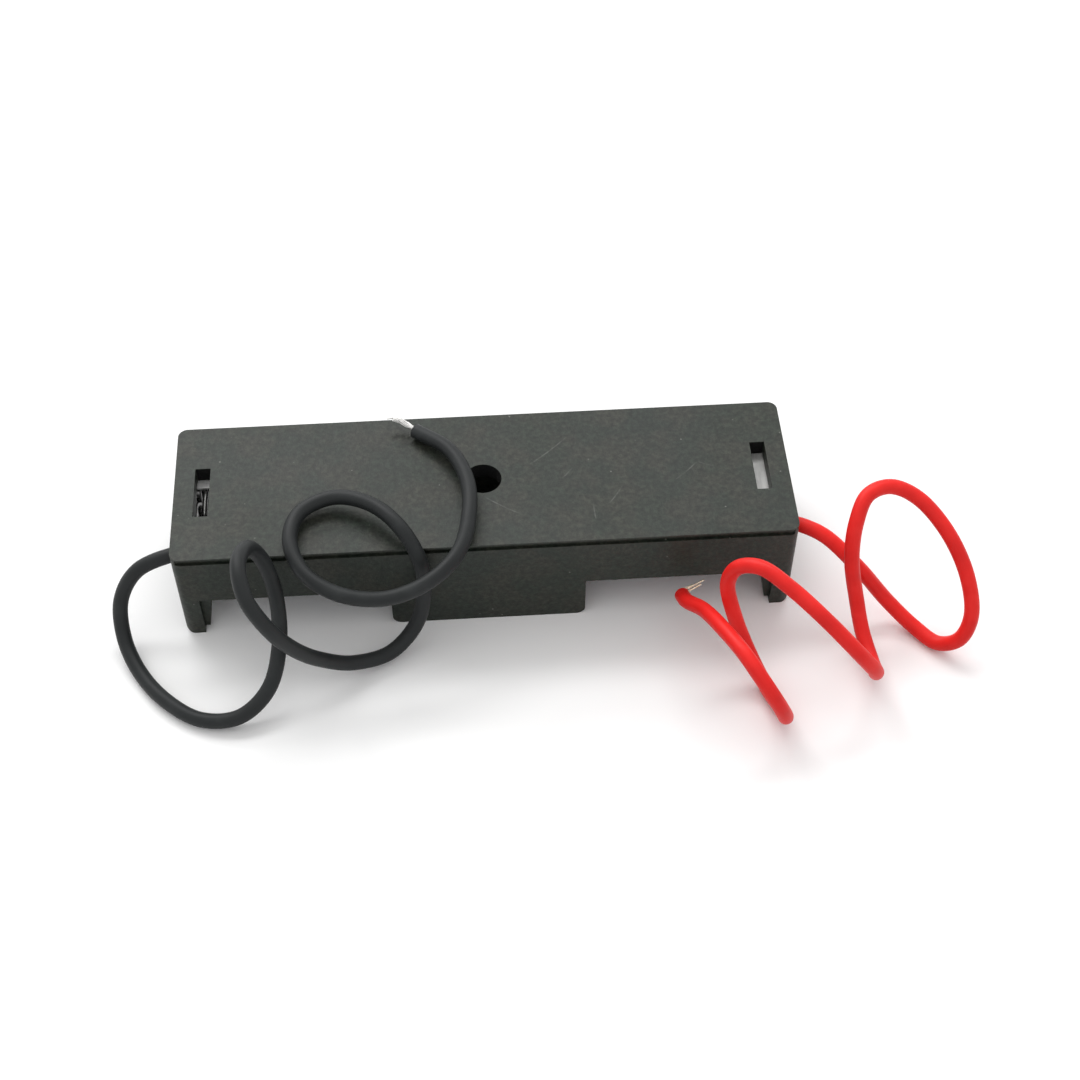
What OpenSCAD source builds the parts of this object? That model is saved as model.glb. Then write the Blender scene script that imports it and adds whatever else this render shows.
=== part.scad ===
// Single-cell holder for a round 18650-size cell, with two free wire leads.
// It lies with its open side down: the flat base is on top, z = 0 is the plane it rests on.
// Millimetres. X runs along the cell, Y across it, Z up. The negative end is at -X.

/* [Housing] */
// Overall length of the housing, end wall to end wall
length = 77; // [77:0.25:80]
// Overall width of the housing across the two long sides
width = 21.4; // [21.2:0.1:24]
// Overall height, from the tips of the retaining lobes to the flat base
height = 14.8; // [14.6:0.1:16]
// Thickness of the flat base
base_t = 2.2; // [2:0.1:2.4]
// Thickness of the two end walls
end_wall_t = 1.2; // [1:0.1:1.4]
// Clear width inside between the long walls
bay_w = 18.8; // [18.6:0.1:18.9]
// Height above the rest plane of the long walls' low rim beside the finger gaps
rim_z = 6.6; // [5.5:0.1:7.5]
// Radius of the housing's upright corners
corner_r = 1.2; // [0.8:0.1:1.3]
// Height of the shallow groove under the base's long edges
groove_h = 0.8; // [0.4:0.1:0.9]
// Depth of the shallow groove under the base's long edges
groove_d = 0.35; // [0.2:0.05:0.45]

/* [Cell supports] */
// Length of each retaining lobe along the cell
lobe_l = 24.5; // [20:0.5:26]
// Radius of the lobes' lower corners
lobe_r = 1.2; // [0.6:0.1:2]
// How far the lobes' small inward lips reach
lip_d = 0.45; // [0.2:0.05:0.5]
// Radius of the saddle curve in the cross ribs
saddle_r = 9.4; // [9.3:0.05:9.5]
// Thickness of each cross rib
rib_t = 1.2; // [0.8:0.1:1.6]
// Length of a corner column seen from the side
column_l = 2.5; // [2.3:0.1:3]

/* [Base openings] */
// Diameter of the screw hole in the middle of the base
screw_d = 4.7; // [3.2:0.1:5.4]
// Length of each contact slot across the base
slot_l = 7.8; // [6:0.2:9]
// Width of each contact slot along the base
slot_w = 1.9; // [1.3:0.05:2]
// Diameter of the lead hole in each end wall
lead_hole_d = 2.1; // [2.1:0.05:2.6]

/* [Contacts] */
// Thickness of the contact plates' sheet metal
plate_t = 0.3; // [0.25:0.05:0.35]
// Width of the contact plates
plate_w = 17.6; // [17:0.1:17.8]
// Width of the tab that each plate's top edge is bent into, under the slot
tab_w = 10.8; // [9.4:0.2:11]
// Outer radius of the bend between a plate and its tab
bend_r = 1.5; // [0.8:0.1:2]
// Width of the notch in the negative plate's tab, which clears the spring
notch_w = 5.2; // [4:0.2:6]
// Height of the pressed dimple on the positive plate
dimple_h = 1.6; // [1:0.1:1.8]
// Radius of the pressed dimple where it meets the positive plate
dimple_r = 2.6; // [2.2:0.1:2.6]
// Diameter of the spring's wire
spring_wire_d = 0.7; // [0.5:0.05:0.7]
// Free length of the spring from the negative plate to its tip
spring_l = 9.6; // [8:0.2:11]
// Radius of the spring's outer turn
spring_base_r = 5.5; // [5.2:0.1:5.6]
// Radius of the spring's second turn, which also lies on the plate
spring_inner_r = 3.9; // [3.6:0.1:4.3]
// Radius of the spring's last turn, which meets the cell
spring_tip_r = 2.6; // [2:0.1:3]

/* [Leads] */
// Outside diameter of the insulated leads
lead_d = 1.9; // [1.4:0.1:1.9]
// Diameter of the bare conductor inside a lead
core_d = 0.8; // [0.6:0.1:0.9]

/* [View] */
// Which piece to show

/* [Hidden] */

$fn = 48;

hx = length / 2;
hy = width / 2;
floor_z = height - base_t;
bay_y = bay_w / 2;
wall_x = hx - end_wall_t;
column_x = hx - column_l;
slot_inset = 2.5;
slot_x = hx - slot_inset;
cell_gap = 0.1;
saddle_z = floor_z - plate_t - cell_gap - saddle_r;
rib_at = [-29, -18, -7, 7, 18, 29];
plate_x = wall_x - plate_t;
plate_low = 0.6;
tab_reach = 0.3;
tab_x = slot_x - slot_w - tab_reach;
tab_slit = 0.2;
cut_over = 1;
lead_y = -7;
lead_z = 11.5;
jacket_x = wall_x + 0.3;
core_tip_x = plate_x - 0.5;
post_y = bay_y - 1.3;
post_l = 1.6;
dimple_z = 3.35;
dimple_ball = (dimple_r * dimple_r + dimple_h * dimple_h) / (2 * dimple_h);
spring_z = 6.6;

// Middle line of the negative lead, from its hole in the end wall to its free end.
negative_path = [
  [-jacket_x, lead_y, lead_z],
  [-hx, lead_y, lead_z],
  [-43.2, -7.8, 9.8],
  [-45.8, -9.4, 6],
  [-45.8, -12.6, 2.4],
  [-43.8, -17, 1],
  [-40.2, -21.6, 1],
  [-35.8, -24.6, 1],
  [-31, -25, 1.8],
  [-27.4, -22.6, 3.8],
  [-25.8, -18.6, 7.2],
  [-25.8, -14.4, 11.2],
  [-26.8, -12.4, 15.6],
  [-28.2, -13.4, 20],
  [-29, -17.2, 21.8],
  [-28.2, -21.2, 20.4],
  [-26, -22.8, 16.4],
  [-23.6, -22.2, 11.4],
  [-20.8, -20.4, 6.4],
  [-17, -18.6, 2.8],
  [-12.6, -16.6, 1.8],
  [-9.4, -14.4, 4],
  [-8, -13.2, 9],
  [-8.2, -12, 14],
  [-10.4, -9, 17],
  [-14, -5.2, 17.2],
  [-18.6, -3.4, 16.6],
  [-22.6, -5.2, 16.2],
  [-23.8, -9.4, 16],
  [-22, -14, 15.2],
  [-17.8, -16.8, 14.4],
  [-12.4, -17.4, 14],
  [-7.4, -15.8, 14.6],
  [-3.6, -12.4, 15.6],
  [-2, -7.2, 16.4],
  [-2, -1.6, 16.6],
  [-4, 3.6, 16.4],
  [-8.2, 7.7, 15.8]
];

// Middle line of the positive lead, from its hole in the end wall to its free end.
positive_path = [
  [jacket_x, lead_y, lead_z],
  [hx, lead_y, lead_z],
  [42, -8.7, 11],
  [46.2, -11.6, 8],
  [50.4, -13.8, 3.2],
  [53.6, -16.6, 1.2],
  [56, -19.2, 1.2],
  [58.2, -20.2, 3.2],
  [59.4, -19, 6.2],
  [58.8, -15.8, 10.4],
  [56.4, -11.8, 14.4],
  [53, -8.4, 17],
  [49.6, -7.6, 18.4],
  [46.6, -8.8, 18.4],
  [45, -11.4, 16.6],
  [44.6, -13.6, 12.4],
  [45.6, -15.6, 6.6],
  [46.4, -18.2, 3],
  [47, -21.6, 2],
  [46.8, -24.6, 3.6],
  [45.8, -26.8, 7.2],
  [43.4, -27, 11],
  [39.8, -24.8, 14.4],
  [35.4, -21.2, 17],
  [32.2, -18.4, 17.6],
  [29.8, -17, 16],
  [28.8, -17, 13],
  [29.8, -19, 8.6],
  [32, -22, 3.6],
  [33.8, -25, 1.2],
  [35, -28.2, 1.6],
  [34.8, -30.6, 3.8],
  [33.6, -31.4, 7.4],
  [31.6, -30, 10.6],
  [29.6, -27, 12.2],
  [27.8, -22.6, 11.2],
  [26, -17.6, 8.8],
  [24.4, -15.2, 7.4],
  [24, -13.6, 6.6]
];

// Bare strands at the free ends: each list starts at the end face of its lead.
negative_strands = [
  [[-8.3, 7.9, 15.9], [-9.4, 8.7, 16.2], [-10.5, 9, 16.7], [-11.5, 8.9, 17]],
  [[-8.35, 7.7, 16.1], [-9.3, 8.3, 16.5], [-10.3, 8.7, 16.9]],
  [[-8.2, 8, 15.75], [-9.4, 8.95, 15.9], [-10.3, 9.25, 16.3]]
];
positive_strands = [
  [[24.1, -13.5, 6.9], [24.2, -12.9, 6.8], [24.6, -12.9, 6.9], [25.5, -12.65, 7.2], [26.8, -12, 7.3]],
  [[24.2, -13.6, 6.6], [24.3, -13.05, 6.35], [24.7, -13.1, 6.5], [25.6, -12.9, 6.9], [26.4, -12.6, 7.3]]
];

// Direction of a path at one of its points, and the side directions carried along it.
function unit(v) = v / norm(v);
function along(p, i) = unit(p[min(i + 1, len(p) - 1)] - p[max(min(i, len(p) - 1) - 1, 0)]);
function squared(n, t) = unit(n - (n * t) * t);
function first_side(t) = squared(abs(t[2]) < 0.9 ? [0, 0, 1] : [1, 0, 0], t);
function sides(p) = [
  for (
    i = 0, n = first_side(along(p, 0));
    i < len(p);
    i = i + 1, n = squared(n, along(p, min(i, len(p) - 1)))
  ) n
];
function ring(c, n, t, r, k) = [
  for (j = [0 : k - 1]) c + r * (cos(360 * j / k) * n + sin(360 * j / k) * cross(t, n))
];

// A round bar of radius r and k sides that follows the points p.
module tube(p, r, k) {
  n = sides(p);
  m = len(p) - 1;
  points = [for (i = [0 : m]) each ring(p[i], n[i], along(p, i), r, k)];
  skin_a = [for (i = [0 : m - 1]) for (j = [0 : k - 1])
    [i * k + j, (i + 1) * k + j, (i + 1) * k + (j + 1) % k]];
  skin_b = [for (i = [0 : m - 1]) for (j = [0 : k - 1])
    [i * k + j, (i + 1) * k + (j + 1) % k, i * k + (j + 1) % k]];
  near_end = [for (j = [0 : k - 1]) j];
  far_end = [for (j = [0 : k - 1]) m * k + k - 1 - j];
  polyhedron(points = points, faces = concat([near_end], skin_a, skin_b, [far_end]), convexity = 12);
}

// Rectangle with rounded corners, centred.
module rounded_plan(l, w, r) {
  union() {
    square([l - 2 * r, w], center = true);
    square([l, w - 2 * r], center = true);
    for (sx = [-1, 1]) {
      for (sy = [-1, 1]) {
        translate([sx * (l / 2 - r), sy * (w / 2 - r)]) circle(r = r);
      }
    }
  }
}

// Outline of the housing from the side: long rim, end columns and one pair of lobes.
module side_outline() {
  er = 1.1;
  union() {
    translate([-hx, rim_z]) square([length, height - rim_z]);
    for (s = [-1, 1]) {
      translate([s * (hx - column_l / 2), (rim_z + 1 + er) / 2]) {
        square([column_l, rim_z + 1 - er], center = true);
      }
      translate([s * (column_x + (column_l - er) / 2), er]) {
        square([column_l - er, 2 * er], center = true);
      }
      translate([s * (hx - er), er]) circle(r = er);
      translate([s * (lobe_l / 2 - lobe_r), lobe_r]) circle(r = lobe_r);
    }
    translate([-lobe_l / 2, lobe_r]) square([lobe_l, rim_z + 1 - lobe_r]);
    translate([-lobe_l / 2 + lobe_r, 0]) square([lobe_l - 2 * lobe_r, rim_z]);
  }
}

// Upright post beside a contact plate; it narrows below the rim. Drawn at +X, +Y.
module post(outer_x) {
  low_x = column_x - 0.6;
  translate([0, bay_y + 0.5, 0]) {
    rotate([90, 0, 0]) {
      linear_extrude(height = 1.8) {
        polygon([
          [outer_x, floor_z + 0.1],
          [column_x - post_l, floor_z + 0.1],
          [column_x - post_l, rim_z],
          [low_x, 0.5],
          [outer_x, 0.5]
        ]);
      }
    }
  }
}

// Cross rib with a saddle curve that the cell lies in.
module rib(x) {
  difference() {
    translate([x - rib_t / 2, -bay_y - 0.3, rim_z]) cube([rib_t, bay_w + 0.6, floor_z - rim_z + 0.3]);
    translate([x, 0, saddle_z]) {
      rotate([0, 90, 0]) cylinder(h = rib_t + 2, r = saddle_r, center = true, $fn = 96);
    }
  }
}

// Small inward lip along the lower edge of a lobe.
module lip(s) {
  lip_l = lobe_l - 2 * lobe_r;
  translate([-lip_l / 2, 0, 0]) {
    rotate([90, 0, 90]) {
      linear_extrude(height = lip_l) {
        polygon([
          [s * (bay_y + 0.3), 0],
          [s * (bay_y - lip_d), 0],
          [s * bay_y, 2.6],
          [s * (bay_y + 0.3), 2.6]
        ]);
      }
    }
  }
}

module housing_shell() {
  difference() {
    intersection() {
      linear_extrude(height = height) rounded_plan(length, width, corner_r);
      translate([0, hy, 0]) {
        rotate([90, 0, 0]) linear_extrude(height = width) side_outline();
      }
    }
    translate([-wall_x, -bay_y, -1]) cube([2 * wall_x, bay_w, floor_z + 1]);
  }
}

module housing() {
  color([0.10, 0.10, 0.105])
  difference() {
    union() {
      housing_shell();
      for (x = rib_at) rib(x);
      lip(1);
      lip(-1);
      for (s = [0, 1]) {
        mirror([0, s, 0]) {
          post(plate_x - 0.1);
          mirror([1, 0, 0]) post(column_x);
        }
      }
    }
    // screw hole
    translate([0, 0, floor_z - 1]) cylinder(h = base_t + 2, d = screw_d);
    for (s = [-1, 1]) {
      // contact slot through the base
      translate([s * (slot_x - slot_w / 2), 0, height]) {
        cube([slot_w, slot_l, 3 * base_t], center = true);
      }
      // lead hole through the end wall
      translate([s * hx, lead_y, lead_z]) {
        rotate([0, 90, 0]) cylinder(h = 3 * end_wall_t, d = lead_hole_d, center = true);
      }
      // shallow groove along the long side
      translate([0, s * hy, height - 0.25 - groove_h / 2]) {
        cube([length - 1.2, 2 * groove_d, groove_h], center = true);
      }
    }
  }
}

// Side view of a plate's bend and of the tab that follows it, under the base.
module tab_profile() {
  bend_x = plate_x + plate_t - bend_r;
  bend_z = floor_z - bend_r;
  translate([tab_x, floor_z - plate_t]) square([bend_x - tab_x, plate_t]);
  intersection() {
    translate([bend_x, bend_z]) {
      difference() {
        circle(r = bend_r);
        circle(r = bend_r - plate_t);
      }
    }
    translate([bend_x, bend_z]) square([bend_r, bend_r]);
  }
}

// Upright sheet with a conductor hole and a tab at the top, drawn at the +X end.
module plate_sheet() {
  cut_w = tab_w + 2 * tab_slit;
  difference() {
    translate([plate_x, -plate_w / 2, plate_low]) cube([plate_t, plate_w, floor_z - plate_low]);
    translate([plate_x - cut_over, -cut_w / 2, floor_z - bend_r]) {
      cube([plate_t + 2 * cut_over, cut_w, bend_r + cut_over]);
    }
    translate([plate_x, lead_y, lead_z]) {
      rotate([0, 90, 0]) cylinder(h = 4 * plate_t, d = core_d, center = true, $fn = 24);
    }
  }
  translate([0, tab_w / 2, 0]) rotate([90, 0, 0]) linear_extrude(height = tab_w) tab_profile();
}

module negative_contact_plate() {
  color([0.78, 0.78, 0.78])
  mirror([1, 0, 0])
  difference() {
    plate_sheet();
    // notch above the spring
    translate([tab_x - cut_over, -notch_w / 2, floor_z - bend_r]) {
      cube([plate_x - tab_x + 2 * cut_over, notch_w, bend_r + cut_over]);
    }
  }
}

module positive_contact_plate() {
  dimple_x = plate_x - dimple_h + dimple_ball;
  color([0.78, 0.78, 0.78])
  difference() {
    union() {
      plate_sheet();
      intersection() {
        translate([dimple_x, 0, dimple_z]) sphere(r = dimple_ball);
        translate([plate_x - dimple_h - 1, 0, dimple_z]) {
          rotate([0, 90, 0]) cylinder(h = dimple_h + 1 + plate_t / 2, r = dimple_r + 1);
        }
      }
    }
    translate([dimple_x, 0, dimple_z]) sphere(r = dimple_ball - plate_t);
  }
}

// Bead of solder on the inner side of a plate, drawn at the +X end.
module solder_bead() {
  difference() {
    intersection() {
      translate([plate_x + 0.3, lead_y, lead_z]) sphere(r = 1.1, $fn = 32);
      translate([plate_x - 1.5, lead_y - 1.5, lead_z - 1.5]) cube([1.5, 3, 3]);
    }
    translate([core_tip_x, lead_y, lead_z]) {
      rotate([0, 90, 0]) cylinder(h = 2, d = core_d, $fn = 24);
    }
  }
}

module negative_solder_joint() {
  color([0.7, 0.7, 0.7]) mirror([1, 0, 0]) solder_bead();
}

module positive_solder_joint() {
  color([0.7, 0.7, 0.7]) solder_bead();
}

// Bare conductor end between a lead's jacket and the solder, drawn at the +X end.
module core_end() {
  translate([core_tip_x, lead_y, lead_z]) {
    rotate([0, 90, 0]) cylinder(h = jacket_x - core_tip_x, d = core_d, $fn = 24);
  }
}

module negative_lead_core() {
  color([0.8, 0.78, 0.7]) mirror([1, 0, 0]) core_end();
}

module positive_lead_core() {
  color([0.8, 0.78, 0.7]) core_end();
}

// Spring: a short straight tail under the slot, a flat outer turn on the plate, a flat
// inner turn, then a narrowing coil to the tip, which meets the cell.
spring_x = -plate_x + spring_wire_d / 2 + 0.02;
tip_x = -plate_x + spring_l - spring_wire_d / 2;
tail_z = floor_z - plate_t - spring_wire_d / 2 - 0.1;
tail_x = slot_x - slot_w / 2;
tail = [
  [-tail_x, -1.2, tail_z - 0.2],
  [-tail_x, 0.6, tail_z],
  [-tail_x, 2.4, tail_z],
  [-tail_x - 0.4, 3.9, tail_z - 0.7],
  [-tail_x - 1.2, 4.8, tail_z - 2]
];
coil_turns = 4.75;
coil_steps = 14;
function coil_r(u) = u < 1 ? spring_base_r : u < 2 ?
  spring_base_r + (spring_inner_r - spring_base_r) * min(1, (u - 1) / 0.6) :
  spring_inner_r + (spring_tip_r - spring_inner_r) * (u - 2) / (coil_turns - 2);
function coil_x(u) = u < 1 ? spring_x : u < 1.9 ?
  spring_x + 0.1 * (u - 1) :
  u < coil_turns - 0.75 ?
  spring_x + 0.09 + (tip_x - spring_x - 0.09) * (u - 1.9) / (coil_turns - 2.65) :
  tip_x;
coil = [
  for (i = [0 : coil_turns * coil_steps])
  let (u = i / coil_steps, a = 15 - 360 * u)
  [coil_x(u), coil_r(u) * cos(a), spring_z + coil_r(u) * sin(a)]
];

module negative_spring() {
  color([0.82, 0.82, 0.82]) tube(concat(tail, coil), spring_wire_d / 2, 8);
}

module negative_lead() {
  color([0.06, 0.065, 0.065]) tube(negative_path, lead_d / 2, 8);
}

module positive_lead() {
  color([0.85, 0.08, 0.07]) tube(positive_path, lead_d / 2, 8);
}

// A strand starts flat on the end face of its lead, so it touches it and does not enter it.
module strands(path, list) {
  t = along(path, len(path) - 1);
  e = path[len(path) - 1];
  for (s = list) {
    a = s[0] - ((s[0] - e) * t) * t;
    tube(concat([a, a + 0.4 * t], [for (i = [1 : len(s) - 1]) s[i]]), 0.14, 6);
  }
}

module negative_lead_strands() {
  color([0.85, 0.84, 0.8]) strands(negative_path, negative_strands);
}

module positive_lead_strands() {
  color([0.8, 0.74, 0.55]) strands(positive_path, positive_strands);
}

housing();
negative_contact_plate();
negative_spring();
negative_solder_joint();
negative_lead_core();
negative_lead();
negative_lead_strands();
positive_contact_plate();
positive_solder_joint();
positive_lead_core();
positive_lead();
positive_lead_strands();
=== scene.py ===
"""Cylindrical cell holder with two free wire leads, lying open side down on a pale floor."""
import math
import random

import bmesh
import bpy
import numpy as np
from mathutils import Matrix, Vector


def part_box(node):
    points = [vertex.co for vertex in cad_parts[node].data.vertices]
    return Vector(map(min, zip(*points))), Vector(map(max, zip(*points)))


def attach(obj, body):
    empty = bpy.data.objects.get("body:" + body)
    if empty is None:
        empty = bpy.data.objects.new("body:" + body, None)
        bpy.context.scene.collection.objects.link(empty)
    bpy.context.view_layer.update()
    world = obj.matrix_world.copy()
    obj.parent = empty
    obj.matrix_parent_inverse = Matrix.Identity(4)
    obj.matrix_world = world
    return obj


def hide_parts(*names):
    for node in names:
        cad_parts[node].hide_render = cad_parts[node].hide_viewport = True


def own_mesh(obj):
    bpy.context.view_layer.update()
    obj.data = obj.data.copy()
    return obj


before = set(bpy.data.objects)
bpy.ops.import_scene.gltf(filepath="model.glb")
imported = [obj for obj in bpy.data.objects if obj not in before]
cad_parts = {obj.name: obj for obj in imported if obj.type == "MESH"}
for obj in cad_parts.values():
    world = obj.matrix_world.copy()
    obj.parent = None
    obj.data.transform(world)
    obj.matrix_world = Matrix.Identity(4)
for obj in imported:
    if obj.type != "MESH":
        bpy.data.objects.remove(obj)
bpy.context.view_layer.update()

MM = 0.001
HOLDER, SPRING = "holder", "contact_spring"

# ---------------------------------------------------------------- sizes, millimetres

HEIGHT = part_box("housing")[1].z / MM
BASE_T = 2.2
BASE_Z = HEIGHT - BASE_T  # underside of the flat base
SLOT_X = 36.0  # outer end of both contact slots
OPENING_HALF_Y = 4.1  # the slots and the screw hole all lie nearer the middle than this
PLATE_X = 37.0  # inner face of both contact plates
LEAD_D = 1.9
LEAD_HOLE = (-7.0, 11.5)  # y and z of the lead's hole and solder bead
SPRING_Z = 6.6  # height of the spring's axis
SPRING_L = 9.6
WIRE_R = 0.34
TAIL_X = -35.05  # the spring's tail, in the middle of the slot

# ---------------------------------------------------------------- camera

CAMERA_PLACE = (-2.652, -149.668, 188.715)
CAMERA_TURN = (38.76797, -0.01667, -3.73598)  # degrees about X, Y and Z
LENS, SENSOR = 61.016, 36.0


def make_camera():
    """The camera at the photograph's angle."""
    cam_data = bpy.data.cameras.new("camera")
    cam = bpy.data.objects.new("camera", cam_data)
    bpy.context.scene.collection.objects.link(cam)
    cam_data.sensor_width = SENSOR
    cam_data.lens = LENS
    cam_data.clip_start, cam_data.clip_end = 0.01, 20.0
    cam.location = Vector(CAMERA_PLACE) * MM
    cam.rotation_euler = [math.radians(angle) for angle in CAMERA_TURN]
    bpy.context.scene.camera = cam


make_camera()

# ---------------------------------------------------------------- routes of the leads, millimetres

BLACK = [
    (-37.6, -7.0, 11.5), (-38.5, -7.0, 11.5), (-43.2, -7.8, 9.8), (-45.8, -9.4, 6.0),
    (-45.8, -12.6, 2.4), (-43.8, -17.0, 1.0), (-40.2, -21.6, 1.0), (-35.8, -24.6, 1.0),
    (-31.0, -25.0, 1.8), (-27.4, -22.6, 3.8), (-25.8, -18.6, 7.2), (-25.8, -14.4, 11.2),
    (-26.8, -12.4, 15.6), (-28.2, -13.4, 20.0), (-29.0, -17.2, 21.8), (-28.2, -21.2, 20.4),
    (-26.0, -22.8, 16.4), (-23.6, -22.2, 11.4), (-20.8, -20.4, 6.4), (-17.0, -18.6, 2.8),
    (-12.6, -16.6, 1.8), (-9.4, -14.4, 4.0), (-8.0, -13.2, 9.0), (-8.2, -12.0, 14.0),
    (-10.4, -9.0, 17.0), (-14.0, -5.2, 17.2), (-18.6, -3.4, 16.6), (-22.6, -5.2, 16.2),
    (-23.8, -9.4, 16.0), (-22.0, -14.0, 15.2), (-17.8, -16.8, 14.4), (-12.4, -17.4, 14.0),
    (-7.4, -15.8, 14.6), (-3.6, -12.4, 15.6), (-2.0, -7.2, 16.4), (-2.0, -1.6, 16.6),
    (-4.0, 3.6, 16.4), (-8.2, 7.7, 15.8),
]
RED = [
    (37.6, -7.0, 11.5), (38.5, -7.0, 11.5), (42.0, -8.7, 11.0), (46.2, -11.6, 8.0),
    (50.4, -13.8, 3.2), (53.6, -16.6, 1.2), (56.0, -19.2, 1.2), (58.2, -20.2, 3.2),
    (59.4, -19.0, 6.2), (58.8, -15.8, 10.4), (56.4, -11.8, 14.4), (53.0, -8.4, 17.0),
    (49.6, -7.6, 18.4), (46.6, -8.8, 18.4), (45.0, -11.4, 16.6), (44.6, -13.6, 12.4),
    (45.6, -15.6, 6.6), (46.4, -18.2, 3.0), (47.0, -21.6, 2.0), (46.8, -24.6, 3.6),
    (45.8, -26.8, 7.2), (43.4, -27.0, 11.0), (39.8, -24.8, 14.4), (35.4, -21.2, 17.0),
    (32.2, -18.4, 17.6), (29.8, -17.0, 16.0), (28.8, -17.0, 13.0), (29.8, -19.0, 8.6),
    (32.0, -22.0, 3.6), (33.8, -25.0, 1.2), (35.0, -28.2, 1.6), (34.8, -30.6, 3.8),
    (33.6, -31.4, 7.4), (31.6, -30.0, 10.6), (29.6, -27.0, 12.2), (27.8, -22.6, 11.2),
    (26.0, -17.6, 8.8), (24.4, -15.2, 7.4), (24.0, -13.6, 6.6),
]

# ---------------------------------------------------------------- mesh helpers

UV_PER_MM = 0.1  # texture coordinate along a tube for each millimetre of its length


def smooth_path(points, steps=8):
    """A smooth curve through the points (centripetal Catmull-Rom)."""
    p = [np.array(q, float) for q in points]
    p = [2 * p[0] - p[1]] + p + [2 * p[-1] - p[-2]]
    out = []
    for i in range(1, len(p) - 2):
        a, b, c, d = p[i - 1:i + 3]
        t0 = 0.0
        t1 = t0 + np.linalg.norm(b - a) ** 0.5
        t2 = t1 + np.linalg.norm(c - b) ** 0.5
        t3 = t2 + np.linalg.norm(d - c) ** 0.5
        for k in range(steps):
            t = t1 + (t2 - t1) * k / steps
            ab = a * (t1 - t) / (t1 - t0) + b * (t - t0) / (t1 - t0)
            bc = b * (t2 - t) / (t2 - t1) + c * (t - t1) / (t2 - t1)
            cd = c * (t3 - t) / (t3 - t2) + d * (t - t2) / (t3 - t2)
            abc = ab * (t2 - t) / (t2 - t0) + bc * (t - t0) / (t2 - t0)
            bcd = bc * (t3 - t) / (t3 - t1) + cd * (t - t1) / (t3 - t1)
            out.append(abc * (t2 - t) / (t2 - t1) + bcd * (t - t1) / (t2 - t1))
    out.append(p[-2])
    return out


def frames(path):
    """Tangent and carried side directions at each point of a path."""
    path = np.array(path)
    tangent = np.gradient(path, axis=0)
    tangent /= np.linalg.norm(tangent, axis=1)[:, None]
    side = np.array((0.0, 0.0, 1.0)) if abs(tangent[0][2]) < 0.9 else np.array((1.0, 0.0, 0.0))
    result = []
    for t in tangent:
        side = side - side.dot(t) * t
        side /= np.linalg.norm(side)
        result.append((t, side.copy(), np.cross(t, side)))
    return result


def add_mesh(name, verts, faces, uv=None):
    """An object from vertices in millimetres, faces and optional per-vertex uv."""
    mesh = bpy.data.meshes.new(name)
    mesh.from_pydata([tuple(float(c) * MM for c in v) for v in verts], [], faces)
    mesh.validate()
    if uv is not None:
        layer = mesh.uv_layers.new(name="along")
        for loop in mesh.loops:
            layer.data[loop.index].uv = uv[loop.vertex_index]
    for poly in mesh.polygons:
        poly.use_smooth = True
    obj = bpy.data.objects.new(name, mesh)
    bpy.context.scene.collection.objects.link(obj)
    return obj


def distances(path):
    """How far along the path each of its points lies."""
    steps = np.linalg.norm(np.diff(np.array(path), axis=0), axis=1)
    return np.concatenate([[0], np.cumsum(steps)])


def ring_faces(rings, sides):
    """Quads that join rings of vertices, one ring after the other."""
    faces = []
    for i in range(rings - 1):
        low, high = i * sides, (i + 1) * sides
        for k in range(sides):
            j = (k + 1) % sides
            faces.append((low + k, low + j, high + j, high + k))
    return faces


def tube(name, path, radius, sides, near=(), far=()):
    """A closed round tube along a path. near and far list extra end rings as (axial shift,
    radius) pairs, to round or hollow the start and the far end."""
    axes = frames(path)
    along = distances(path)
    rows = [(path[0] + axes[0][0] * shift, axes[0], r, shift) for shift, r in near]
    rows += [(point, axis, radius, s) for point, axis, s in zip(path, axes, along)]
    rows += [(path[-1] + axes[-1][0] * shift, axes[-1], r, along[-1] + shift) for shift, r in far]
    verts, uv = [], []
    for centre, (_, n, b), r, s in rows:
        for k in range(sides):
            a = 2 * math.pi * k / sides
            verts.append(centre + r * (math.cos(a) * n + math.sin(a) * b))
            uv.append((s * UV_PER_MM, k / sides))
    faces = ring_faces(len(rows), sides)
    faces.append(tuple(range(sides - 1, -1, -1)))
    faces.append(tuple((len(rows) - 1) * sides + k for k in range(sides)))
    return add_mesh(name, verts, faces, uv)


# ---------------------------------------------------------------- materials


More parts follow.
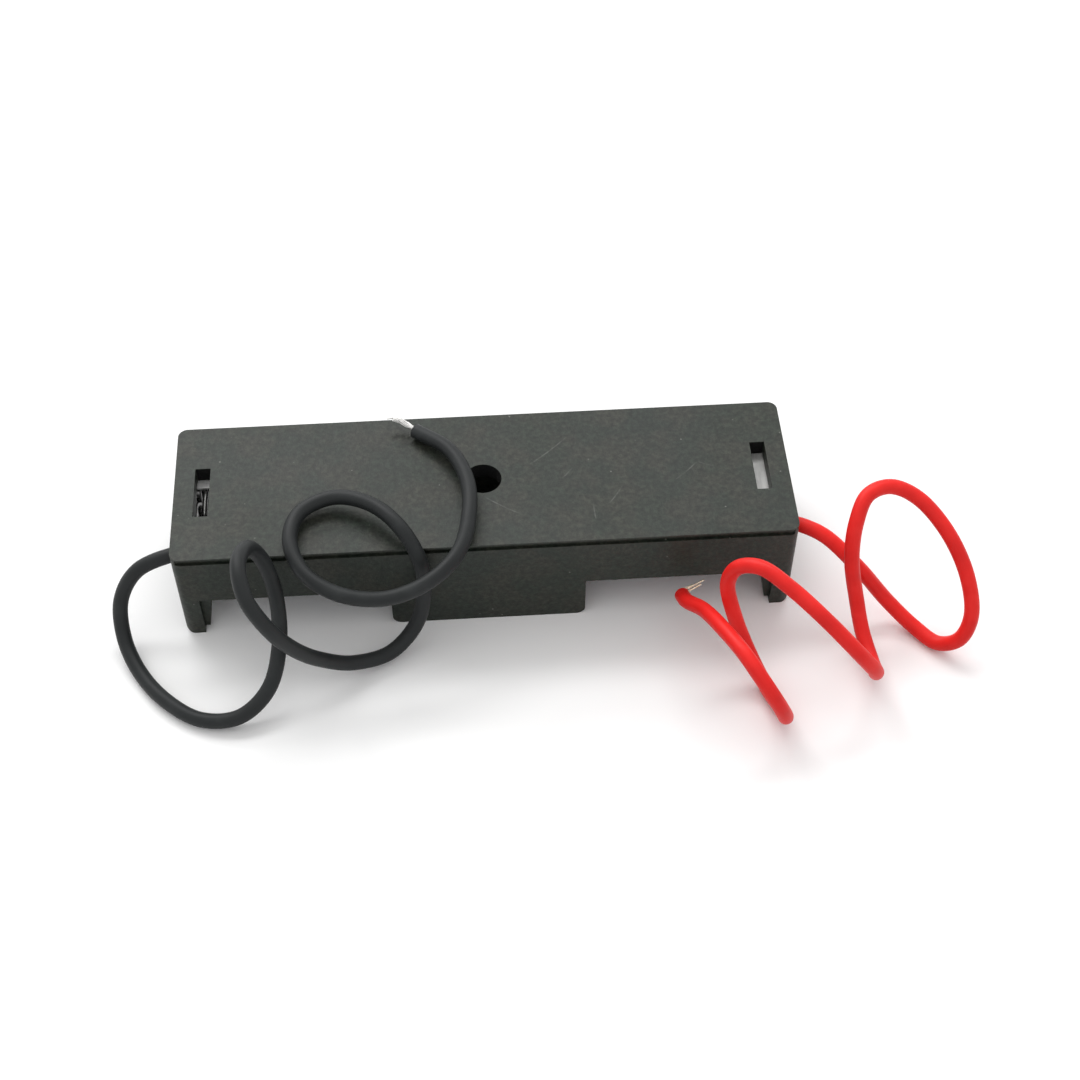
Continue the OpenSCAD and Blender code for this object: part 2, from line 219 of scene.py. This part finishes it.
class Nodes:
    """A node material under construction, with a short method for each kind of node."""

    def __init__(self, name):
        self.mat = bpy.data.materials.new(name)
        self.mat.use_nodes = True
        self.tree = self.mat.node_tree
        self.tree.nodes.clear()
        self.out = self.tree.nodes.new("ShaderNodeOutputMaterial")
        self.bsdf = self.tree.nodes.new("ShaderNodeBsdfPrincipled")
        self.link(self.bsdf.outputs[0], self.out.inputs["Surface"])

    def link(self, a, b):
        self.tree.links.new(a, b)

    def make(self, kind, **values):
        """A new shader node, with the named settings or input values."""
        node = self.tree.nodes.new("ShaderNode" + kind)
        for key, value in values.items():
            if hasattr(node, key):
                setattr(node, key, value)
            else:
                node.inputs[key.replace("_", " ")].default_value = value
        return node

    def coords(self, scale=(1, 1, 1), what="Object"):
        """Texture coordinates in metres, or along a tube with UV, stretched by scale."""
        source = self.make("TexCoord")
        mapping = self.make("Mapping")
        mapping.inputs["Scale"].default_value = scale
        self.link(source.outputs[what], mapping.inputs["Vector"])
        return mapping.outputs["Vector"]

    def noise(self, vector, scale, detail, roughness):
        node = self.make("TexNoise", Scale=scale, Detail=detail, Roughness=roughness)
        self.link(vector, node.inputs["Vector"])
        return node.outputs[0]

    def ramp(self, value, stops):
        """A colour ramp. stops are (place, colour or grey level) pairs."""
        node = self.make("ValToRGB")
        ramp = node.color_ramp
        while len(ramp.elements) < len(stops):
            ramp.elements.new(0.5)
        for element, (place, colour) in zip(ramp.elements, stops):
            element.position = place
            if isinstance(colour, float):
                colour = (colour, colour, colour)
            element.color = (*colour, 1.0)
        self.link(value, node.inputs["Fac"])
        return node.outputs["Color"]

    def math(self, operation, a, b=0.0):
        node = self.make("Math", operation=operation)
        for socket, value in zip(node.inputs, (a, b)):
            if isinstance(value, float):
                socket.default_value = value
            else:
                self.link(value, socket)
        return node.outputs[0]

    def mix(self, factor, a, b, blend="MIX"):
        node = self.make("Mix", data_type="RGBA", blend_type=blend)
        factor_in, a_in, b_in = node.inputs[0], node.inputs[6], node.inputs[7]
        for socket, value in ((factor_in, factor), (a_in, a), (b_in, b)):
            if isinstance(value, float):
                socket.default_value = value
            elif isinstance(value, tuple):
                socket.default_value = (*value, 1.0)
            else:
                self.link(value, socket)
        return node.outputs[2]

    def bump(self, height, strength, distance):
        node = self.make("Bump", Strength=strength, Distance=distance)
        self.link(height, node.inputs["Height"])
        return node.outputs["Normal"]

    def to(self, socket, value):
        """Sets one of the shader's sockets to a number, or links a texture to it."""
        target = self.bsdf.inputs[socket]
        if isinstance(value, (int, float)):
            target.default_value = value
        else:
            self.link(value, target)


# hairline scratches in the base, in millimetres: middle x and y, direction in degrees, length
SCRATCHES = (
    (8.5, 4.0, 41, 7.2), (2.2, -4.6, -35, 6.0), (13.5, -6.2, -88, 2.6), (10.7, 0.3, 51, 2.2),
    (25.6, -0.4, 43, 4.2), (28.2, 0.6, -24, 2.2), (16.5, -3.6, 56, 4.0),
)
SCRATCH_W = 0.12


def scratch_mask(m, x, y, degrees, length):
    """1 on a thin broken line on the base, 0 elsewhere."""
    source = m.make("TexCoord")
    local = m.make("Mapping", vector_type="TEXTURE")
    local.inputs["Location"].default_value = (x * MM, y * MM, 0)
    local.inputs["Rotation"].default_value = (0, 0, math.radians(degrees))
    m.link(source.outputs["Object"], local.inputs["Vector"])
    axes = m.make("SeparateXYZ")
    m.link(local.outputs["Vector"], axes.inputs[0])
    half = 0.5 * length * MM
    along = m.math("DIVIDE", m.math("ABSOLUTE", axes.outputs["X"]), half)
    bow = m.math("MULTIPLY", m.math("MULTIPLY", along, along), 0.05 * half)
    off = m.math("ABSOLUTE", m.math("SUBTRACT", axes.outputs["Y"], bow))
    thin = m.ramp(m.math("DIVIDE", off, SCRATCH_W * MM), [(0.2, 1.0), (1.0, 0.0)])
    return m.math("MULTIPLY", thin, m.ramp(along, [(0.55, 1.0), (1.0, 0.0)]))


def scratches(m, place, height):
    """1 on the hairline scratches of the base's outer face, 0 elsewhere."""
    lines = [scratch_mask(m, *line) for line in SCRATCHES]
    total = lines[0]
    for line in lines[1:]:
        total = m.math("MAXIMUM", line, total)
    worn = m.ramp(m.noise(place, 900, 2, 0.6), [(0.38, 0.25), (0.6, 1.0)])
    on_top = m.math("GREATER_THAN", height, (HEIGHT - 0.05) * MM)
    return m.math("MULTIPLY", m.math("MULTIPLY", total, worn), on_top)


def dust_specks(m, place):
    """1 on pale specks that lie in loose groups, 0 elsewhere."""
    speck = m.make("TexVoronoi", Scale=620.0)
    m.link(place, speck.inputs["Vector"])
    dots = m.ramp(speck.outputs["Distance"], [(0.05, 1.0), (0.085, 0.0)])
    groups = m.ramp(m.noise(place, 330, 1, 0.5), [(0.58, 0.0), (0.64, 1.0)])
    return m.math("MULTIPLY", dots, groups)


def painted_shade_mask(m, axes):
    """1 on the sides of the slots and the screw hole through the base, where painted shade goes:
    inside the base's thickness and near its middle."""
    across = m.math("LESS_THAN", m.math("ABSOLUTE", axes.outputs["Y"]), OPENING_HALF_Y * MM)
    inside = m.math("LESS_THAN", m.math("ABSOLUTE", axes.outputs["X"]), (SLOT_X - 0.05) * MM)
    deep = m.math("LESS_THAN", axes.outputs["Z"], (HEIGHT - 0.12) * MM)
    high = m.math("GREATER_THAN", axes.outputs["Z"], (BASE_Z + 0.02) * MM)
    return m.math("MULTIPLY", m.math("MULTIPLY", across, inside), m.math("MULTIPLY", deep, high))


def housing_material():
    """Black moulded plastic: matte grain, mottled green and brown patches, a few hairline
    scratches and dust specks. The sides of the base's openings get painted shade: near black and
    dull."""
    m = Nodes("housing_plastic")
    place = m.coords()
    axes = m.make("SeparateXYZ")
    m.link(place, axes.inputs[0])
    cloud = m.noise(place, 55, 4, 0.6)
    patch = m.noise(place, 210, 3, 0.6)
    grain = m.noise(place, 1500, 3, 0.75)
    tone = m.ramp(cloud, [(0.3, (0.012, 0.0180, 0.0130)), (0.7, (0.018, 0.0240, 0.0165))])
    tone = m.mix(m.ramp(patch, [(0.44, 0.0), (0.60, 0.6)]), tone, (0.028, 0.0275, 0.0205))
    shade = m.ramp(grain, [(0.34, 0.54), (0.5, 0.95), (0.66, 1.62)])
    tone = m.mix(1.0, tone, shade, "MULTIPLY")
    scratch = scratches(m, place, axes.outputs["Z"])
    tone = m.mix(m.math("MULTIPLY", scratch, 0.34), tone, (0.16, 0.165, 0.15))
    tone = m.mix(m.math("MULTIPLY", dust_specks(m, place), 0.5), tone, (0.25, 0.25, 0.23))
    # painted shade: the sides of the slots and screw hole are coloured near black and made dull,
    # standing in for the shade in these recesses
    shade_paint = painted_shade_mask(m, axes)
    m.to("Base Color", m.mix(shade_paint, tone, (0.004, 0.004, 0.004)))
    face = m.ramp(cloud, [(0.25, 0.42), (0.75, 0.52)])
    rough = m.math("SUBTRACT", face, m.math("MULTIPLY", scratch, 0.1))
    m.to("Roughness", m.math("MAXIMUM", rough, m.math("MULTIPLY", shade_paint, 0.9)))
    m.to("Specular IOR Level", 0.32)
    height = m.math("ADD", grain, m.math("MULTIPLY", patch, 0.6))
    m.to("Normal", m.bump(height, 0.75, 0.00007))
    return m.mat


def nickel_material(name, dark, light):
    """Nickel-plated sheet: rolled streaks across the plate and soft grey variation."""
    m = Nodes(name)
    streak = m.noise(m.coords((1.0, 0.1, 1.0)), 2400, 4, 0.6)
    wide = m.noise(m.coords((1.0, 0.3, 1.0)), 700, 3, 0.6)
    tone = m.ramp(wide, [(0.35, dark), (0.68, light)])
    m.to("Base Color", m.mix(0.5, tone, m.ramp(streak, [(0.3, 0.55), (0.7, 1.0)]), "MULTIPLY"))
    m.to("Metallic", 1.0)
    m.to("Roughness", m.ramp(streak, [(0.3, 0.62), (0.7, 0.78)]))
    m.to("Normal", m.bump(streak, 0.3, 0.00003))
    return m.mat


def spring_material():
    """Very dark metal spring wire, near black, with faint drawing lines along it."""
    m = Nodes("spring_wire")
    line = m.noise(m.coords((1.0, 60.0, 1.0), "UV"), 6, 3, 0.5)
    m.to("Base Color", m.ramp(line, [(0.3, (0.08, 0.08, 0.078)), (0.7, (0.14, 0.14, 0.135))]))
    m.to("Metallic", 1.0)
    m.to("Roughness", m.ramp(line, [(0.3, 0.26), (0.7, 0.4)]))
    m.to("Normal", m.bump(line, 0.15, 0.00002))
    return m.mat


def solder_material():
    """Dull solder with a fine frosted grain."""
    m = Nodes("solder")
    grain = m.noise(m.coords(), 2400, 4, 0.6)
    m.to("Base Color", m.ramp(grain, [(0.3, (0.42, 0.42, 0.43)), (0.75, (0.66, 0.66, 0.66))]))
    m.to("Metallic", 1.0)
    m.to("Roughness", m.ramp(grain, [(0.3, 0.28), (0.7, 0.5)]))
    m.to("Normal", m.bump(grain, 0.3, 0.00005))
    return m.mat


def strand_material(name, dark, light):
    """Bright bare strands with slight variation from wire to wire."""
    m = Nodes(name)
    grain = m.noise(m.coords(), 3000, 2, 0.5)
    m.to("Base Color", m.ramp(grain, [(0.3, dark), (0.7, light)]))
    m.to("Metallic", 0.85)
    m.to("Roughness", m.ramp(grain, [(0.3, 0.25), (0.7, 0.4)]))
    m.to("Normal", m.bump(grain, 0.1, 0.00002))
    return m.mat


def jacket_material(name, deep, base, pale, roughness, specular):
    """Flexible PVC insulation: faint extrusion lines and soft cloudy sheen."""
    m = Nodes(name)
    line = m.noise(m.coords((0.5, 14.0, 1.0), "UV"), 4, 3, 0.5)
    cloud = m.noise(m.coords(), 260, 3, 0.5)
    grain = m.noise(m.coords(), 3200, 2, 0.5)
    tone = m.ramp(cloud, [(0.3, deep), (0.55, base), (0.8, pale)])
    m.to("Base Color", m.mix(m.ramp(line, [(0.35, 0.0), (0.8, 0.18)]), tone, pale))
    m.to("Roughness", m.ramp(cloud, [(0.3, roughness - 0.05), (0.7, roughness + 0.07)]))
    m.to("Specular IOR Level", specular)
    height = m.math("ADD", m.math("MULTIPLY", line, 0.7), m.math("MULTIPLY", grain, 0.6))
    m.to("Normal", m.bump(height, 0.22, 0.00004))
    return m.mat


HOUSING = housing_material()
# the same nickel plating in two copies: the negative plate's copy is painted lighter than the
# positive plate's, standing in for light on its tab under the slot
NICKEL_PAINTED_LIGHTER = nickel_material("nickel_painted_lighter", (0.84, 0.84, 0.83), (0.98, 0.98, 0.97))
NICKEL_DARKER_COPY = nickel_material("nickel_darker_copy", (0.52, 0.52, 0.51), (0.74, 0.74, 0.72))
WIRE = spring_material()
SOLDER = solder_material()
TINNED = strand_material("tinned_strands", (0.78, 0.77, 0.75), (0.95, 0.95, 0.93))
GOLDEN = strand_material("copper_strands", (0.74, 0.60, 0.40), (0.98, 0.92, 0.76))
BLACK_PVC = jacket_material("black_jacket", (0.013, 0.0148, 0.0152), (0.018, 0.0202, 0.0207),
                            (0.030, 0.0332, 0.0337), 0.48, 0.23)
RED_PVC = jacket_material("red_jacket", (0.74, 0.014, 0.012), (0.86, 0.020, 0.016),
                          (0.95, 0.036, 0.030), 0.42, 0.22)


def dress(obj, material, body=HOLDER, replaces=()):
    """Gives a new piece its material, body and the CAD nodes it stands for."""
    obj.data.materials.clear()
    obj.data.materials.append(material)
    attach(obj, body)
    if replaces:
        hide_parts(*replaces)
    return obj


def coat(node, material):
    """Puts a material on a CAD node that stays."""
    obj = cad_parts[node]
    if not obj.material_slots:
        obj.data.materials.append(material)
    for slot in obj.material_slots:
        slot.material = material
    return obj


# ---------------------------------------------------------------- housing and plates

housing = coat("housing", HOUSING)
# the negative plate gets the copy painted lighter, as painted light under its slot
coat("negative_contact_plate", NICKEL_PAINTED_LIGHTER)
coat("positive_contact_plate", NICKEL_DARKER_COPY)
coat("negative_lead_core", TINNED)
coat("positive_lead_core", TINNED)


def soften_edges(obj, width):
    """Small rounded edges on a CAD node, by modifiers that leave its mesh alone."""
    flat = obj.modifiers.new("join_flat_faces", "DECIMATE")
    flat.decimate_type = "DISSOLVE"
    flat.angle_limit = math.radians(1)
    bevel = obj.modifiers.new("soft_edges", "BEVEL")
    bevel.width = width * MM
    bevel.segments = 2
    bevel.limit_method = "ANGLE"
    bevel.angle_limit = math.radians(35)


soften_edges(housing, 0.18)

# ---------------------------------------------------------------- spring

# The outer turn lies on the plate, the second turn winds inward beside it, and the rest
# narrows to the tip.
OUTER_R, INNER_R, TIP_R = 5.5, 3.9, 2.6
TURNS, STEPS = 4.75, 30
START_ANGLE = 15
RISE_TURN = 1.9  # the turn after which the coil leaves the plate
LAST_TURN = 0.75  # the part of a turn that lies flat at the tip
PLATE_REST = -PLATE_X + 0.37  # x of the first turn
SECOND_REST = PLATE_REST + 0.09  # x of the wire where it leaves the plate
TIP_REST = -PLATE_X + SPRING_L - 0.35  # x of the flat end at the tip


def coil_point(u):
    """A point of the spring's coil after u turns."""
    if u < 1:
        r, x = OUTER_R, PLATE_REST
    else:
        inward = min(1, (u - 1) / 0.6)
        r = OUTER_R + (INNER_R - OUTER_R) * inward
        x = PLATE_REST + 0.1 * (u - 1)
    if u >= 2:
        r = INNER_R + (TIP_R - INNER_R) * (u - 2) / (TURNS - 2)
    if u >= TURNS - LAST_TURN:
        x = TIP_REST
    elif u >= RISE_TURN:
        risen = (u - RISE_TURN) / (TURNS - LAST_TURN - RISE_TURN)
        x = SECOND_REST + (TIP_REST - SECOND_REST) * risen
    a = math.radians(START_ANGLE - 360 * u)
    return np.array((x, r * math.cos(a), SPRING_Z + r * math.sin(a)))


def spring_paths():
    """Two runs of one wire, in millimetres: the tail with the first turn, which stay on the
    plate, and the narrowing coil that the cell presses."""
    tail_z = BASE_Z - 0.75
    tail = [(TAIL_X, -1.2, tail_z - 0.2), (TAIL_X, 0.6, tail_z), (TAIL_X, 2.4, tail_z),
            (TAIL_X - 0.4, 3.9, tail_z - 0.7), (TAIL_X - 1.2, 4.8, tail_z - 2)]
    coil = [coil_point(i / STEPS) for i in range(int(TURNS * STEPS) + 1)]
    return smooth_path(tail + [coil[1]], 8)[:-1] + coil[1:STEPS + 1], coil[STEPS:]


base_run, coil_run = spring_paths()
near_cap, far_cap = ((-0.16, 0.15), (-0.1, 0.27)), ((0.1, 0.27), (0.16, 0.15))
dress(tube("negative_spring_base", base_run, WIRE_R, 14, near=near_cap, far=far_cap),
      WIRE, HOLDER)
spring = tube("negative_spring_wire", coil_run, WIRE_R, 14, far=far_cap)
dress(spring, WIRE, SPRING, ["negative_spring"])
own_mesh(spring)

# ---------------------------------------------------------------- solder beads

SOLDER_R, SOLDER_H = 1.04, 0.8


def solder_bead(name, end, replaced):
    """A small uneven dome of solder on the plate's inner side."""
    rng = random.Random(7 if end > 0 else 11)
    rows, sides = 9, 20
    verts = []
    for i in range(rows + 1):
        a = 0.5 * math.pi * i / rows
        for k in range(sides):
            b = 2 * math.pi * k / sides
            uneven = 1 + 0.05 * math.sin(3 * b + end) * math.cos(a) + rng.uniform(-0.01, 0.01)
            r = SOLDER_R * math.cos(a) * uneven
            depth = SOLDER_H * math.sin(a) ** 0.9
            verts.append((end * (PLATE_X - depth), LEAD_HOLE[0] + r * math.cos(b),
                          LEAD_HOLE[1] + r * math.sin(b)))
    obj = add_mesh(name, verts, ring_faces(rows + 1, sides) + [tuple(range(sides))])
    bm = bmesh.new()
    bm.from_mesh(obj.data)
    bmesh.ops.remove_doubles(bm, verts=bm.verts, dist=0.02 * MM)
    bmesh.ops.recalc_face_normals(bm, faces=bm.faces)
    bm.to_mesh(obj.data)
    bm.free()
    return dress(obj, SOLDER, HOLDER, [replaced])


solder_bead("negative_solder", -1, "negative_solder_joint")
solder_bead("positive_solder", 1, "positive_solder_joint")

# ---------------------------------------------------------------- leads

STEPS_PER_POINT = 8  # of a lead's smooth path, for each point of its route


def lead(name, route, material, node):
    """A lead's jacket along its route. The far end face has a hollow for the conductor."""
    path = smooth_path(route, STEPS_PER_POINT)
    r = LEAD_D / 2
    obj = tube(name, path, r, 24, near=((0.0, r - 0.05),),
               far=((0.03, r - 0.03), (0.05, r - 0.09), (0.05, 0.52), (0.0, 0.5)))
    dress(obj, material, HOLDER, [node])
    return obj, path


def strands(name, routes, radius, material, node):
    """Fine bare wires from the end face of a lead, joined into one piece."""
    verts, faces = [], []
    for route in routes:
        piece = tube("strand", smooth_path(route, 6), radius, 8)
        offset = len(verts)
        verts += [tuple(c / MM for c in v.co) for v in piece.data.vertices]
        faces += [tuple(i + offset for i in p.vertices) for p in piece.data.polygons]
        old = piece.data
        bpy.data.objects.remove(piece)
        bpy.data.meshes.remove(old)
    return dress(add_mesh(name, verts, faces), material, HOLDER, [node])


def bundle(rng, centre_line, count, spread, twist):
    """Routes of loosely twisted strands round a line. They stand apart most in the middle."""
    routes = []
    line = [np.array(p, float) for p in centre_line]
    axes = frames(line)
    for k in range(count):
        phase = 2 * math.pi * k / count
        reach = rng.uniform(0.85, 1.0) if k else 1.0
        route = []
        for i, (p, (_, n, b)) in enumerate(zip(line, axes)):
            f = i / (len(line) - 1)
            if f > reach + 0.01:
                break
            a = phase + twist * f
            s = spread * (0.45 + 0.6 * math.sin(math.pi * f)) * (1 + 0.15 * rng.uniform(-1, 1))
            route.append(p + s * (math.cos(a) * n + math.sin(a) * b))
        routes.append(route)
    return routes


black_lead, black_path = lead("negative_lead_wire", BLACK, BLACK_PVC,
                              "negative_lead")
red_lead, red_path = lead("positive_lead_wire", RED, RED_PVC, "positive_lead")

# middle lines of the bare strands, millimetres
BLACK_TIP = [(-8.2, 7.8, 15.95), (-8.8, 8.25, 16.05), (-9.5, 8.65, 16.25), (-10.3, 8.95, 16.6),
             (-11.0, 8.95, 16.85), (-11.7, 8.9, 17.0)]
RED_TIP_UPPER = [(24.1, -13.5, 6.9), (24.15, -13.05, 6.8), (24.55, -12.9, 6.9), (25.5, -12.65, 7.2),
                 (26.9, -12.0, 7.35)]
RED_TIP_LOWER = [(24.2, -13.55, 6.6), (24.3, -13.15, 6.4), (24.7, -13.1, 6.5), (25.6, -12.9, 6.9),
                 (26.5, -12.6, 7.3)]

draw = random.Random(3)
black_routes = bundle(draw, BLACK_TIP, 9, 0.28, 2.5)
red_routes = bundle(draw, RED_TIP_UPPER, 3, 0.09, 1.2) + bundle(draw, RED_TIP_LOWER, 2, 0.08, 1.2)
black_strands = strands("negative_strands", black_routes, 0.095, TINNED, "negative_lead_strands")
red_strands = strands("positive_strands", red_routes, 0.11, GOLDEN, "positive_lead_strands")

# ---------------------------------------------------------------- stage


def make_floor(half=3.0):
    """A pale floor. Seen directly or in a reflection it is white, and it keeps the shadows."""
    mesh = bpy.data.meshes.new("floor")
    corners = [(-half, -half, 0), (half, -half, 0), (half, half, 0), (-half, half, 0)]
    mesh.from_pydata(corners, [], [(0, 1, 2, 3)])
    floor = bpy.data.objects.new("floor", mesh)
    bpy.context.scene.collection.objects.link(floor)
    m = Nodes("pale_floor")
    rays = m.make("LightPath")
    seen = m.math("MAXIMUM", rays.outputs["Is Camera Ray"], rays.outputs["Is Glossy Ray"])
    m.to("Base Color", m.mix(seen, (0.60, 0.60, 0.60), (1.0, 1.0, 1.0)))
    m.to("Roughness", 1.0)
    m.to("Specular IOR Level", 0.0)
    mesh.materials.append(m.mat)


def area_light(name, place, width, power):
    """A lamp panel that faces the holder. place and width are in metres, power in watts."""
    data = bpy.data.lights.new(name, "AREA")
    data.energy = power
    data.shape = "RECTANGLE"
    data.size = width
    data.size_y = 0.25
    obj = bpy.data.objects.new(name, data)
    bpy.context.scene.collection.objects.link(obj)
    obj.location = place
    obj.rotation_euler = (-Vector(place)).to_track_quat("-Z", "Y").to_euler()


def make_world():
    """Soft light, brighter overhead than at the horizon. Seen directly or in a reflection the
    world is plain white."""
    world = bpy.data.worlds.new("world")
    bpy.context.scene.world = world
    world.use_nodes = True
    tree = world.node_tree
    tree.nodes.clear()
    out = tree.nodes.new("ShaderNodeOutputWorld")

    place = tree.nodes.new("ShaderNodeTexCoord")
    axes = tree.nodes.new("ShaderNodeSeparateXYZ")
    tree.links.new(place.outputs["Generated"], axes.inputs[0])
    ramp = tree.nodes.new("ShaderNodeValToRGB")
    ramp.color_ramp.elements[0].color = (0.42, 0.42, 0.46, 1.0)
    ramp.color_ramp.elements[1].color = (1.00, 1.00, 0.98, 1.0)
    tree.links.new(axes.outputs["Z"], ramp.inputs["Fac"])
    soft = tree.nodes.new("ShaderNodeBackground")
    soft.inputs["Strength"].default_value = 0.98
    tree.links.new(ramp.outputs["Color"], soft.inputs["Color"])

    white = tree.nodes.new("ShaderNodeBackground")
    white.inputs["Color"].default_value = (1.0, 1.0, 1.0, 1.0)
    white.inputs["Strength"].default_value = 1.0

    rays = tree.nodes.new("ShaderNodeLightPath")
    seen = rays.outputs["Is Camera Ray"]
    for kind in ("Is Glossy Ray", "Is Transmission Ray"):
        either = tree.nodes.new("ShaderNodeMath")
        either.operation = "MAXIMUM"
        tree.links.new(seen, either.inputs[0])
        tree.links.new(rays.outputs[kind], either.inputs[1])
        seen = either.outputs[0]
    mix = tree.nodes.new("ShaderNodeMixShader")
    tree.links.new(seen, mix.inputs[0])
    tree.links.new(soft.outputs[0], mix.inputs[1])
    tree.links.new(white.outputs[0], mix.inputs[2])
    tree.links.new(mix.outputs[0], out.inputs["Surface"])


make_floor()
make_world()
area_light("key", (-0.10, 0.56, 0.92), 1.2, 4.9)
area_light("side", (-0.36, 0.80, 0.62), 0.5, 2.7)
bpy.context.scene.view_settings.view_transform = "Standard"
